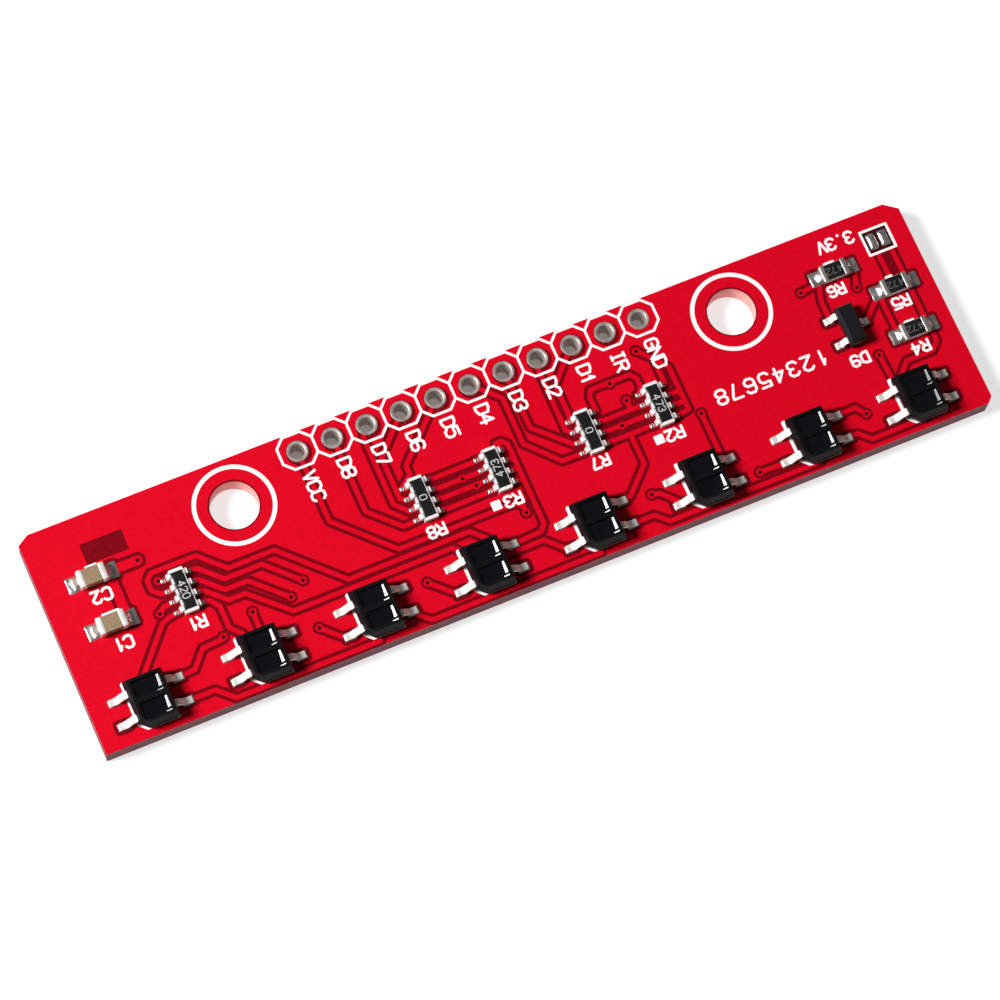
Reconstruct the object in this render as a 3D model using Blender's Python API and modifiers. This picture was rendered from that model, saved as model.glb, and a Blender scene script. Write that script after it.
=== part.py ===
"""Eight-channel infrared line-sensor board: a circuit board, its sensors, chip parts and header barrels.

The frame has its origin at the centre of the board's underside, +X along the board, +Y towards the
header row and +Z out of the component side. Sizes are written in millimetres, and every mesh is
scaled to metres as it is made.
"""

import math

import bmesh
import bpy
from mathutils import Matrix

MM = 0.001
GAP = 0.02  # between pieces that sit in or on each other
CUT_PAST = 1.0  # how far a cutter runs past the wall that it opens

# Board
BOARD_LENGTH = 65.5
BOARD_WIDTH = 16.1
BOARD_THICKNESS = 1.6
UPPER_LEFT_CUT = (0.8, 0.5)
UPPER_RIGHT_CUT = (0.95, 0.7)
LOWER_RIGHT_CUT = (0.4, 0.4)
MOUNT_HOLE_RADIUS = 1.7
MOUNT_HOLE_SPACING = 37.0
MOUNT_HOLE_MIDDLE = (0.15, 4.75)
MOUNT_HOLE_SIDES = 48

# Header row
HEADER_COUNT = 11
HEADER_PITCH = 2.54
HEADER_MIDDLE = (-0.24, 6.69)
BARREL_BORE_RADIUS = 0.5
BARREL_RADIUS = 0.56
RING_RADIUS = 0.76
RING_THICKNESS = 0.06
BARREL_SIDES = 32

# Reflectance sensors
SENSOR_COUNT = 8
SENSOR_PITCH = 8.09
SENSOR_MIDDLE = (-0.355, -5.8)
HOUSING_RINGS = (  # width, length, corner cut, height above the board
    (2.56, 3.34, 0.50, 0.10),
    (2.80, 3.52, 0.55, 0.72),
    (2.42, 3.22, 0.45, 1.50),
)
WINDOW_SIZE = (1.95, 1.20)
WINDOW_OFFSET = 0.78
RESIN_BOTTOM = 0.18
RESIN_TOP = 1.34
SENSOR_LEAD_PATH = ((0.6, 0.80), (1.52, 0.80), (2.06, 0.10), (2.58, 0.10))  # outwards, height
SENSOR_LEAD_THICKNESS = 0.15
SENSOR_LEAD_WIDTH = 0.50
SENSOR_LEAD_OFFSET = 0.875

# Chip parts: length, width, height, length of each end termination
CAPACITOR_SIZE = (2.0, 1.25, 0.80, 0.42)
RESISTOR_SIZE = (2.0, 1.25, 0.50, 0.38)
CAPACITOR_PLACES = {1: (-29.05, 0.10), 2: (-29.05, 3.62)}
RESISTOR_PLACES = {4: (29.85, -1.25), 5: (29.98, 2.20), 6: (26.45, 4.72)}
END_WALL = 0.04

# Resistor arrays of four elements
ARRAY_SIZE = (1.46, 3.20, 0.50)  # width between the terminals, length, height
ARRAY_PLACES = {1: (-23.82, 0.42), 2: (11.10, 0.42), 3: (-1.03, 0.30), 7: (5.85, 0.42), 8: (-6.50, 0.30)}
TERMINAL_PITCH = 0.8
TERMINAL_WIDTH = 0.44
TERMINAL_STAND_OUT = 0.08
TERMINALS_PER_SIDE = 4

# Three-lead diode
DIODE_PLACE = (25.75, 0.60)
DIODE_RINGS = (
    (1.22, 2.80, 0.0, 0.08),
    (1.36, 2.94, 0.0, 0.55),
    (1.16, 2.74, 0.0, 1.05),
)
DIODE_LEAD_PATH = ((0.36, 0.55), (0.82, 0.55), (1.02, 0.09), (1.32, 0.09))
DIODE_LEAD_THICKNESS = 0.12
DIODE_LEAD_WIDTH = 0.46
DIODE_LEADS = ((-1, 0.95), (-1, -0.95), (1, 0.0))  # side, offset along the body

HALF_TURN = Matrix.Rotation(math.pi, 4, "Z")
UPRIGHT = Matrix.Rotation(math.pi / 2, 4, "X")  # stands a flat outline up, so that it extrudes along Y


def clear_scene():
    for obj in list(bpy.data.objects):
        bpy.data.objects.remove(obj)


def new_collection(name):
    collection = bpy.data.collections.new(name)
    bpy.context.scene.collection.children.link(collection)
    return collection


def principled(name, color, roughness, metallic=0.0):
    material = bpy.data.materials.new(name)
    material.use_nodes = True
    shader = material.node_tree.nodes["Principled BSDF"]
    shader.inputs["Base Color"].default_value = (*color, 1.0)
    shader.inputs["Roughness"].default_value = roughness
    shader.inputs["Metallic"].default_value = metallic
    return material


def place(name, mesh, collection, material=None, position=(0.0, 0.0, 0.0)):
    """A named object of this mesh, at a position in millimetres."""
    obj = bpy.data.objects.new(name, mesh)
    obj.location = [value * MM for value in position]
    collection.objects.link(obj)
    if material:
        mesh.materials.clear()
        mesh.materials.append(material)
    return obj


def evaluated_mesh(obj):
    """The object's mesh with its modifiers applied and its coincident points joined."""
    bpy.context.view_layer.update()
    graph = bpy.context.evaluated_depsgraph_get()
    mesh = bpy.data.meshes.new_from_object(obj.evaluated_get(graph))
    shape = bmesh.new()
    shape.from_mesh(mesh)
    bmesh.ops.remove_doubles(shape, verts=shape.verts, dist=1e-7)
    shape.to_mesh(mesh)
    shape.free()
    return mesh


def sharpen(mesh):
    """Smooth shading on round faces, with the real edges kept sharp."""
    mesh.shade_smooth()
    mesh.set_sharp_from_angle(angle=math.radians(35))
    return mesh


def outline_mesh(name, loops, thickness, turn=None):
    """A flat plate about z = 0 from an outline and its holes: a filled 2D curve with an extrude."""
    curve = bpy.data.curves.new(name, "CURVE")
    curve.dimensions = "2D"
    curve.fill_mode = "BOTH"
    curve.extrude = thickness / 2
    for loop in loops:
        spline = curve.splines.new("POLY")
        spline.points.add(len(loop) - 1)
        spline.use_cyclic_u = True
        for point, (x, y) in zip(spline.points, loop):
            point.co = (x, y, 0.0, 1.0)
    guide = bpy.data.objects.new(name, curve)
    bpy.context.scene.collection.objects.link(guide)
    mesh = evaluated_mesh(guide)
    bpy.data.objects.remove(guide)
    if turn:
        mesh.transform(turn)
    mesh.transform(Matrix.Scale(MM, 4))
    return mesh


def box_mesh(name, low, high):
    """A box between two corners, in millimetres."""
    shape = bmesh.new()
    size = [b - a for a, b in zip(low, high)]
    middle = [(a + b) / 2 for a, b in zip(low, high)]
    bmesh.ops.create_cube(shape, size=1.0, matrix=Matrix.LocRotScale(middle, None, size))
    mesh = bpy.data.meshes.new(name)
    shape.to_mesh(mesh)
    shape.free()
    mesh.transform(Matrix.Scale(MM, 4))
    return mesh


def turned_mesh(name, profile, closed):
    """A shape turned about Z from (radius, height) points that run down its outer side."""
    mesh = bpy.data.meshes.new(name)
    count = len(profile)
    edges = [(i, i + 1) for i in range(count - 1)]
    if closed:
        edges.append((count - 1, 0))
    mesh.from_pydata([(radius * MM, 0.0, height * MM) for radius, height in profile], edges, [])
    obj = bpy.data.objects.new(name, mesh)
    bpy.context.scene.collection.objects.link(obj)
    screw = obj.modifiers.new("turn", "SCREW")
    screw.steps = BARREL_SIDES
    screw.render_steps = BARREL_SIDES
    screw.use_merge_vertices = True
    screw.merge_threshold = 1e-6
    turned = evaluated_mesh(obj)
    bpy.data.objects.remove(obj)
    return turned


def loft_mesh(name, rings):
    """A closed body through (outline, height) rings that have the same number of points."""
    shape = bmesh.new()
    levels = [[shape.verts.new((x, y, height)) for x, y in outline] for outline, height in rings]
    shape.faces.new(reversed(levels[0]))
    shape.faces.new(levels[-1])
    for below, above in zip(levels, levels[1:]):
        for i in range(len(below)):
            j = (i + 1) % len(below)
            shape.faces.new((below[i], below[j], above[j], above[i]))
    mesh = bpy.data.meshes.new(name)
    shape.to_mesh(mesh)
    shape.free()
    mesh.transform(Matrix.Scale(MM, 4))
    return mesh


def combined_mesh(mesh, others, operation):
    """The mesh after a Boolean with each of the others in turn."""
    base = bpy.data.objects.new("base", mesh)
    bpy.context.scene.collection.objects.link(base)
    helpers = []
    for other in others:
        helper = bpy.data.objects.new("helper", other)
        bpy.context.scene.collection.objects.link(helper)
        helpers.append(helper)
        modifier = base.modifiers.new(operation.lower(), "BOOLEAN")
        modifier.operation = operation
        modifier.solver = "EXACT"
        modifier.object = helper
    result = evaluated_mesh(base)
    for obj in (base, *helpers):
        bpy.data.objects.remove(obj)
    return result


def circle(middle, radius, sides):
    return [
        (
            middle[0] + radius * math.cos(2 * math.pi * i / sides),
            middle[1] + radius * math.sin(2 * math.pi * i / sides),
        )
        for i in range(sides)
    ]


def cut_rectangle(width, length, cut):
    """A centred rectangle, anticlockwise, with its lower left corner cut off if cut isn't zero."""
    x, y = width / 2, length / 2
    corner = [(-x, -y + cut), (-x + cut, -y)] if cut else [(-x, -y)]
    return [*corner, (x, -y), (x, y), (-x, y)]


def strap_outline(path, thickness):
    """The side outline of a bent strap of even thickness about its middle line."""
    left, right = [], []
    for i, (x, z) in enumerate(path):
        before = path[max(i - 1, 0)]
        after = path[min(i + 1, len(path) - 1)]
        directions = [
            (b[0] - a[0], b[1] - a[1]) for a, b in ((before, (x, z)), ((x, z), after)) if a != b
        ]
        units = [(u / math.hypot(u, w), w / math.hypot(u, w)) for u, w in directions]
        u = sum(unit[0] for unit in units) / len(units)
        w = sum(unit[1] for unit in units) / len(units)
        reach = thickness / 2 / (u * u + w * w)
        left.append((x - w * reach, z + u * reach))
        right.append((x + w * reach, z - u * reach))
    return right + left[::-1]


def lead_mesh(path, thickness, width, side, offset):
    """One bent lead that leaves its body on the given side, at an offset along Y."""
    mesh = outline_mesh("lead", [strap_outline(path, thickness)], width, UPRIGHT)
    if side < 0:
        mesh.transform(HALF_TURN)
    mesh.transform(Matrix.Translation((0.0, offset * MM, 0.0)))
    return mesh


def lead_slot(path, thickness, width, low_x, high_x, offset):
    """The box that a lead passes through in its body's wall."""
    half = width / 2 + GAP
    height = path[0][1]
    rise = thickness / 2 + GAP
    return box_mesh("slot", (low_x, offset - half, height - rise), (high_x, offset + half, height + rise))


def board_outline():
    x, y = BOARD_LENGTH / 2, BOARD_WIDTH / 2
    return [
        (-x, -y),
        (x - LOWER_RIGHT_CUT[0], -y),
        (x, -y + LOWER_RIGHT_CUT[1]),
        (x, y - UPPER_RIGHT_CUT[1]),
        (x - UPPER_RIGHT_CUT[0], y),
        (-x + UPPER_LEFT_CUT[0], y),
        (-x, y - UPPER_LEFT_CUT[1]),
    ]


def mount_holes():
    x, y = MOUNT_HOLE_MIDDLE
    return [(x - MOUNT_HOLE_SPACING / 2, y), (x + MOUNT_HOLE_SPACING / 2, y)]


def header_holes():
    x, y = HEADER_MIDDLE
    first = x - HEADER_PITCH * (HEADER_COUNT - 1) / 2
    return [(first + HEADER_PITCH * i, y) for i in range(HEADER_COUNT)]


def sensor_places():
    x, y = SENSOR_MIDDLE
    first = x - SENSOR_PITCH * (SENSOR_COUNT - 1) / 2
    return [(first + SENSOR_PITCH * i, y) for i in range(SENSOR_COUNT)]


def barrel_profile():
    low, high = RING_THICKNESS, BOARD_THICKNESS - RING_THICKNESS
    return [
        (BARREL_BORE_RADIUS, BOARD_THICKNESS),
        (RING_RADIUS, BOARD_THICKNESS),
        (RING_RADIUS, high),
        (BARREL_RADIUS, high),
        (BARREL_RADIUS, low),
        (RING_RADIUS, low),
        (RING_RADIUS, 0.0),
        (BARREL_BORE_RADIUS, 0.0),
    ]


def barrel_seat_profile():
    """The space that a barrel takes out of the board, past both of its faces."""
    low, high = RING_THICKNESS + GAP, BOARD_THICKNESS - RING_THICKNESS - GAP
    return [
        (0.0, BOARD_THICKNESS + CUT_PAST),
        (RING_RADIUS + GAP, BOARD_THICKNESS + CUT_PAST),
        (RING_RADIUS + GAP, high),
        (BARREL_RADIUS + GAP, high),
        (BARREL_RADIUS + GAP, low),
        (RING_RADIUS + GAP, low),
        (RING_RADIUS + GAP, -CUT_PAST),
        (0.0, -CUT_PAST),
    ]


def make_board(parts, cutters):
    holes = [circle(middle, MOUNT_HOLE_RADIUS, MOUNT_HOLE_SIDES) for middle in mount_holes()]
    mesh = outline_mesh("pcb", [board_outline(), *holes], BOARD_THICKNESS)
    mesh.transform(Matrix.Translation((0.0, 0.0, BOARD_THICKNESS / 2 * MM)))
    board = place("pcb", sharpen(mesh), parts, principled("solder_mask_red", (0.62, 0.005, 0.02), 0.35))
    seat = turned_mesh("barrel_seat", barrel_seat_profile(), closed=False)
    for number, (x, y) in enumerate(header_holes(), 1):
        cutter = place(f"barrel_seat_{number}", seat, cutters, position=(x, y, 0.0))
        cutter.hide_render = True
        cutter.display_type = "WIRE"
    modifier = board.modifiers.new("barrel_seats", "BOOLEAN")
    modifier.operation = "DIFFERENCE"
    modifier.solver = "EXACT"
    modifier.operand_type = "COLLECTION"
    modifier.collection = cutters


def make_header(parts):
    tinned = principled("tinned_copper", (0.60, 0.58, 0.56), 0.35, 1.0)
    barrel = sharpen(turned_mesh("header_barrel", barrel_profile(), closed=True))
    for number, (x, y) in enumerate(header_holes(), 1):
        place(f"header_barrel_{number}", barrel, parts, tinned, (x, y, 0.0))


def housing_mesh():
    outer = loft_mesh("housing", [(cut_rectangle(w, l, cut), z) for w, l, cut, z in HOUSING_RINGS])
    half_x, half_y = WINDOW_SIZE[0] / 2, WINDOW_SIZE[1] / 2
    low, high = HOUSING_RINGS[0][3] - CUT_PAST, HOUSING_RINGS[-1][3] + CUT_PAST
    reach = HOUSING_RINGS[1][0] / 2 + CUT_PAST
    cuts = []
    for side in (1, -1):
        y = side * WINDOW_OFFSET
        cuts.append(box_mesh("window", (-half_x, y - half_y, low), (half_x, y + half_y, high)))
        lead_y = side * SENSOR_LEAD_OFFSET
        cuts.append(
            lead_slot(SENSOR_LEAD_PATH, SENSOR_LEAD_THICKNESS, SENSOR_LEAD_WIDTH, -reach, reach, lead_y)
        )
    return combined_mesh(outer, cuts, "DIFFERENCE")


def optics_mesh(side):
    """A resin block in its window, with a lead out of each long wall; side is +1 or -1 along Y."""
    half_x, half_y = WINDOW_SIZE[0] / 2 - GAP, WINDOW_SIZE[1] / 2 - GAP
    y = side * WINDOW_OFFSET
    block = box_mesh("resin", (-half_x, y - half_y, RESIN_BOTTOM), (half_x, y + half_y, RESIN_TOP))
    lead_y = side * SENSOR_LEAD_OFFSET
    leads = [
        lead_mesh(SENSOR_LEAD_PATH, SENSOR_LEAD_THICKNESS, SENSOR_LEAD_WIDTH, way, lead_y)
        for way in (-1, 1)
    ]
    return combined_mesh(block, leads, "UNION")


def make_sensors(parts):
    pieces = (
        ("housing", housing_mesh(), principled("housing_black", (0.012, 0.012, 0.013), 0.45)),
        ("emitter", optics_mesh(1), principled("emitter_resin", (0.010, 0.010, 0.014), 0.12)),
        ("detector", optics_mesh(-1), principled("detector_resin", (0.010, 0.010, 0.010), 0.12)),
    )
    for number, (x, y) in enumerate(sensor_places(), 1):
        for piece, mesh, material in pieces:
            place(f"sensor_{number}_{piece}", mesh, parts, material, (x, y, BOARD_THICKNESS))


def chip_meshes(size):
    """The ceramic block and one end termination, a cup that faces -X, of a chip part."""
    length, width, height, end = size
    inset = END_WALL + GAP
    x, y = length / 2, width / 2
    block = box_mesh("block", (inset - x, inset - y, inset), (x - inset, y - inset, height - inset))
    cup = box_mesh("cup", (x - end, -y, 0.0), (x, y, height))
    hollow = box_mesh(
        "hollow",
        (x - end - CUT_PAST, END_WALL - y, END_WALL),
        (x - END_WALL, y - END_WALL, height - END_WALL),
    )
    return block, combined_mesh(cup, [hollow], "DIFFERENCE")


def make_chips(parts):
    end_metal = principled("end_tin", (0.66, 0.64, 0.62), 0.32, 1.0)
    ceramic = principled("capacitor_ceramic", (0.36, 0.26, 0.15), 0.5)
    coating = principled("resistor_coating", (0.02, 0.02, 0.02), 0.4)
    kinds = (
        ("capacitor", CAPACITOR_SIZE, CAPACITOR_PLACES, ceramic),
        ("resistor", RESISTOR_SIZE, RESISTOR_PLACES, coating),
    )
    base = BOARD_THICKNESS + GAP
    for kind, size, places, material in kinds:
        block, end = chip_meshes(size)
        for number, (x, y) in places.items():
            place(f"{kind}_{number}_block", block, parts, material, (x, y, base))
            place(f"{kind}_{number}_right_end", end, parts, end_metal, (x, y, base))
            left = place(f"{kind}_{number}_left_end", end, parts, end_metal, (x, y, base))
            left.rotation_euler[2] = math.pi


def array_outline():
    """One side's edge with its terminals standing out, and the same edge turned round for the other."""
    half_width, half_length = ARRAY_SIZE[0] / 2, ARRAY_SIZE[1] / 2
    edge = [(half_width, -half_length)]
    for i in range(TERMINALS_PER_SIDE):
        y = TERMINAL_PITCH * (i - (TERMINALS_PER_SIDE - 1) / 2)
        low, high = y - TERMINAL_WIDTH / 2, y + TERMINAL_WIDTH / 2
        out = half_width + TERMINAL_STAND_OUT
        edge += [(half_width, low), (out, low), (out, high), (half_width, high)]
    edge.append((half_width, half_length))
    return edge + [(-x, -y) for x, y in edge]


def make_arrays(parts):
    material = principled("array_ceramic", (0.05, 0.05, 0.05), 0.45)
    mesh = outline_mesh("resistor_array", [array_outline()], ARRAY_SIZE[2])
    middle = BOARD_THICKNESS + GAP + ARRAY_SIZE[2] / 2
    for number, (x, y) in ARRAY_PLACES.items():
        place(f"resistor_array_{number}", mesh, parts, material, (x, y, middle))


def make_diode(parts):
    plastic = principled("diode_epoxy", (0.015, 0.015, 0.015), 0.4)
    tinned = principled("lead_tin", (0.64, 0.62, 0.60), 0.3, 1.0)
    body = loft_mesh("diode", [(cut_rectangle(w, l, cut), z) for w, l, cut, z in DIODE_RINGS])
    inner = DIODE_LEAD_PATH[0][0] - GAP
    outer = DIODE_RINGS[1][0] / 2 + CUT_PAST
    slots = []
    for side, offset in DIODE_LEADS:
        low, high = sorted((side * inner, side * outer))
        slots.append(
            lead_slot(DIODE_LEAD_PATH, DIODE_LEAD_THICKNESS, DIODE_LEAD_WIDTH, low, high, offset)
        )
    position = (*DIODE_PLACE, BOARD_THICKNESS)
    place("diode_9_body", combined_mesh(body, slots, "DIFFERENCE"), parts, plastic, position)
    for number, (side, offset) in enumerate(DIODE_LEADS, 1):
        lead = lead_mesh(DIODE_LEAD_PATH, DIODE_LEAD_THICKNESS, DIODE_LEAD_WIDTH, side, offset)
        place(f"diode_9_lead_{number}", lead, parts, tinned, position)


def main():
    clear_scene()
    parts = new_collection("line_sensor_board")
    cutters = new_collection("cutters")
    make_board(parts, cutters)
    make_header(parts)
    make_sensors(parts)
    make_chips(parts)
    make_arrays(parts)
    make_diode(parts)


main()
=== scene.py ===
"""The line-sensor board's looks: solder mask over copper, printing, solder, sensors and chip parts.

Sizes here are in millimetres from the centre of the board's underside, and meshes are scaled to
metres when they are made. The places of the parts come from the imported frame.
"""

import math

import bmesh
import bpy
from mathutils import Matrix, Vector, geometry, noise


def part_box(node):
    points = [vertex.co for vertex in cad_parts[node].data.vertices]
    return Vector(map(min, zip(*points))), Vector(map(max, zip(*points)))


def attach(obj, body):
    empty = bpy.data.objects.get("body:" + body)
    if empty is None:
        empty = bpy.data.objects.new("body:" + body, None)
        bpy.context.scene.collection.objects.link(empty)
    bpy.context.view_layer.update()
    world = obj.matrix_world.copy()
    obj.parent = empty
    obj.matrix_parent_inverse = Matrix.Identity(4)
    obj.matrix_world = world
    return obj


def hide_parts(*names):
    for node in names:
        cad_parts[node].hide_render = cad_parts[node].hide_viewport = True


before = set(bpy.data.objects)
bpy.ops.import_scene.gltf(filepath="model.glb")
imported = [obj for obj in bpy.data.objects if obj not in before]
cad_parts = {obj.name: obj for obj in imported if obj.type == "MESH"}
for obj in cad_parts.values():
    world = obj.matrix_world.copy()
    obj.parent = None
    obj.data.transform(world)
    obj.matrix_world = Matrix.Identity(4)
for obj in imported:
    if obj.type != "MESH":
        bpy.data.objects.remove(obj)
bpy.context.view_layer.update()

MM = 0.001
WELD = 1e-5  # outline points closer than this are one point
ARC_STEP = math.radians(24)
RIM_WALL = 0.004

# Copper and solder mask
COPPER_STEP = 0.035  # how far the mask over copper stands above the mask over bare laminate
STEP_SLOPE = 0.03
MASK_DEPTH = 0.08
CLEARANCE = 0.24
TRACE = 0.17  # half width
WIDE_TRACE = 0.34  # half width
VIA_RADIUS = 0.28
DRILL_RADIUS = 0.14
VIA_CLEARANCE = 0.18
HOLE_CLEARANCE = 0.13  # copper kept back from a mounting hole

# Printing
PRINT_DEPTH = 0.05
PRINT_HEIGHT = 0.014
LINE = 0.09  # half width of a printed line
SENSOR_FRAME_LINE = 0.14
MOUNT_RING = (2.58, 2.88)  # radii of the printed ring round a mounting hole

# Camera, light and stage
CAMERA_PLACE = (-55.31, -75.00, 266.53)
CAMERA_TARGET = (-1.65, -1.70, 1.60)
CAMERA_UP = (0.360, 0.878, 0.316)
CAMERA_LENS = 149.3
KEY_DIRECTION = (-0.92, 0.27, 0.95)
KEY_DISTANCE = 500.0
KEY_SIZE = 0.17
KEY_POWER = 4.0
FLOOR_SIZE = 1800.0


def corners(node):
    """A node's lowest and highest corners in millimetres."""
    low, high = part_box(node)
    return low / MM, high / MM


def middle(node):
    low, high = corners(node)
    return (low + high) / 2


BOARD_CORNER = corners("pcb")[1]
TOP = BOARD_CORNER.z
HEADER = [middle(f"header_barrel_{i}") for i in range(1, 12)]
SENSORS = [middle(f"sensor_{i}_housing") for i in range(1, 9)]
MOUNT_HOLES = [(-18.35, 4.75), (18.65, 4.75)]
MOUNT_HOLE_RADIUS = 1.7
RING_SEAT_RADIUS = 0.78  # the opening in the mask for a header barrel's ring


# Materials


def new_material(name, color, roughness, metallic=0.0, specular=0.5):
    """A Principled material with its shader node."""
    material = bpy.data.materials.new(name)
    material.use_nodes = True
    shader = material.node_tree.nodes["Principled BSDF"]
    shader.inputs["Base Color"].default_value = (*color, 1.0)
    shader.inputs["Roughness"].default_value = roughness
    shader.inputs["Metallic"].default_value = metallic
    shader.inputs["Specular IOR Level"].default_value = specular
    return material, shader


def add_noise(material, scale, stretch=(1.0, 1.0, 1.0)):
    """A noise texture in object space, with its scale in waves per millimetre."""
    nodes, links = material.node_tree.nodes, material.node_tree.links
    place = nodes.new("ShaderNodeTexCoord")
    mapping = nodes.new("ShaderNodeMapping")
    mapping.inputs["Scale"].default_value = stretch
    links.new(place.outputs["Object"], mapping.inputs["Vector"])
    texture = nodes.new("ShaderNodeTexNoise")
    texture.inputs["Scale"].default_value = scale / MM
    texture.inputs["Detail"].default_value = 4.0
    links.new(mapping.outputs["Vector"], texture.inputs["Vector"])
    return texture


def vary_color(material, shader, texture, dark, light):
    """Base colour that runs from dark to light with a texture."""
    nodes, links = material.node_tree.nodes, material.node_tree.links
    ramp = nodes.new("ShaderNodeValToRGB")
    for stop, place, color in zip(ramp.color_ramp.elements, (0.3, 0.7), (dark, light)):
        stop.position = place
        stop.color = (*color, 1.0)
    links.new(texture.outputs["Fac"], ramp.inputs["Fac"])
    links.new(ramp.outputs["Color"], shader.inputs["Base Color"])


def grained(name, dark, light, roughness, scale, depth, stretch=(1.0, 1.0, 1.0), **settings):
    """A material with a grain that varies its colour, roughness and surface together.

    The grain has scale waves per millimetre, and its bumps are depth millimetres high.
    """
    material, shader = new_material(name, light, roughness[1], **settings)
    texture = add_noise(material, scale, stretch)
    vary_color(material, shader, texture, dark, light)
    nodes, links = material.node_tree.nodes, material.node_tree.links
    span = nodes.new("ShaderNodeMapRange")
    span.inputs["To Min"].default_value = roughness[0]
    span.inputs["To Max"].default_value = roughness[1]
    links.new(texture.outputs["Fac"], span.inputs["Value"])
    links.new(span.outputs["Result"], shader.inputs["Roughness"])
    bump = nodes.new("ShaderNodeBump")
    bump.inputs["Strength"].default_value = 1.0
    bump.inputs["Distance"].default_value = depth * MM
    links.new(texture.outputs["Fac"], bump.inputs["Height"])
    links.new(bump.outputs["Normal"], shader.inputs["Normal"])
    return material


MASK = grained(
    "mask_over_copper", (0.58, 0.0006, 0.011), (0.66, 0.0010, 0.015),
    (0.30, 0.42), 6.0, 0.0012, specular=0.12,
)
MASK_LOW = grained(
    "mask_over_laminate", (0.145, 0.0004, 0.004), (0.20, 0.0008, 0.007),
    (0.30, 0.42), 6.0, 0.0012, specular=0.12,
)
# The mounting holes' walls: paler and pinker than the laminate, partly the drilled wall's own lighter
# tone and partly painted light, floor light bounced onto a wall that lies in shade
HOLE_WALL_WITH_PAINTED_BOUNCE = grained(
    "drilled_laminate_with_painted_bounce", (0.72, 0.30, 0.27), (0.92, 0.46, 0.42),
    (0.55, 0.75), 1.4, 0.010, stretch=(1.0, 1.0, 5.0), specular=0.2,
)
# Near black: painted shade in each via's drill, which is not cut through the board, and the bare
# laminate's own dark in the jumper's field
DRILL_SHADE_AND_BARE_FIELD = grained(
    "drilled_hole", (0.02, 0.001, 0.002), (0.05, 0.001, 0.004),
    (0.5, 0.7), 6.0, 0.002, specular=0.1,
)
LAMINATE = grained(
    "glass_laminate", (0.10, 0.030, 0.040), (0.26, 0.11, 0.13),
    (0.55, 0.75), 1.1, 0.012, stretch=(1.0, 1.0, 7.0), specular=0.12,
)
PRINT = grained(
    "white_print", (0.86, 0.84, 0.84), (0.93, 0.92, 0.92),
    (0.5, 0.65), 9.0, 0.002, specular=0.3,
)
HOUSING = grained(
    "moulded_black", (0.0020, 0.0020, 0.0028), (0.0045, 0.0045, 0.0055),
    (0.40, 0.52), 9.0, 0.0015, specular=0.12,
)
RESIN = grained(
    "filter_resin", (0.0015, 0.0015, 0.0025), (0.004, 0.004, 0.006),
    (0.14, 0.20), 0.9, 0.002, specular=0.45,
)
EPOXY = grained(
    "diode_epoxy", (0.005, 0.0045, 0.006), (0.011, 0.010, 0.012),
    (0.38, 0.48), 9.0, 0.002, specular=0.25,
)
TIN = grained(
    "tinned_metal", (0.76, 0.73, 0.69), (0.95, 0.92, 0.88),
    (0.34, 0.46), 2.2, 0.006, metallic=0.42,
)
SOLDER = grained(
    "solder", (0.50, 0.47, 0.45), (0.80, 0.77, 0.75),
    (0.22, 0.36), 2.6, 0.010, metallic=0.9,
)
PLATING = grained(
    "plated_hole", (0.42, 0.355, 0.325), (0.62, 0.54, 0.50),
    (0.36, 0.5), 2.5, 0.006, metallic=0.6,
)
DULL_TIN = grained(
    "dull_tin", (0.40, 0.37, 0.35), (0.62, 0.58, 0.56),
    (0.34, 0.46), 3.0, 0.008, metallic=0.75,
)
CERAMIC = grained(
    "capacitor_ceramic", (0.23, 0.16, 0.09), (0.32, 0.225, 0.125),
    (0.35, 0.5), 5.0, 0.002, specular=0.3,
)
ALUMINA = grained(
    "alumina", (0.72, 0.67, 0.67), (0.84, 0.80, 0.80),
    (0.45, 0.6), 6.0, 0.003, specular=0.3,
)
OVERCOAT = grained(
    "glass_overcoat", (0.005, 0.005, 0.005), (0.013, 0.012, 0.012),
    (0.38, 0.52), 8.0, 0.002, specular=0.2,
)
MARKING = grained(
    "value_marking", (0.42, 0.41, 0.40), (0.62, 0.61, 0.60),
    (0.5, 0.6), 9.0, 0.001, specular=0.3,
)
FAINT_MARKING = grained(
    "faint_value_marking", (0.09, 0.09, 0.085), (0.15, 0.15, 0.14),
    (0.5, 0.6), 9.0, 0.001, specular=0.3,
)


# Outlines: each shape is a convex core and the radius round it


def offset_outline(core, radius):
    """The anticlockwise outline of all within a radius of a point, a line or a convex polygon."""
    if len(core) == 1:
        return circle(*core[0], radius, math.ceil(2 * math.pi / ARC_STEP))
    outline = []
    for i, (x, y) in enumerate(core):
        before, after = core[i - 1], core[(i + 1) % len(core)]
        start = math.atan2(before[0] - x, y - before[1])
        turn = (math.atan2(x - after[0], after[1] - y) - start) % (2 * math.pi)
        count = max(1, math.ceil(turn / ARC_STEP - 1e-6))
        for step in range(count + 1):
            angle = start + turn * step / count
            outline.append((x + radius * math.cos(angle), y + radius * math.sin(angle)))
    return outline


def even_steps(outline):
    """The outline with points added so that no stretch of it is longer than a step."""
    step = 0.1
    points = []
    for (x, y), (px, py) in zip(outline, outline[1:] + outline[:1]):
        count = max(1, math.ceil(math.hypot(px - x, py - y) / step))
        points += [(x + (px - x) * i / count, y + (py - y) * i / count) for i in range(count)]
    return points


def circle(x, y, radius, sides=48):
    angles = [2 * math.pi * i / sides for i in range(sides)]
    return [(x + radius * math.cos(a), y + radius * math.sin(a)) for a in angles]


def rectangle(x, y, width, length):
    left, right, low, high = x - width / 2, x + width / 2, y - length / 2, y + length / 2
    return [(left, low), (right, low), (right, high), (left, high)]


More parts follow.
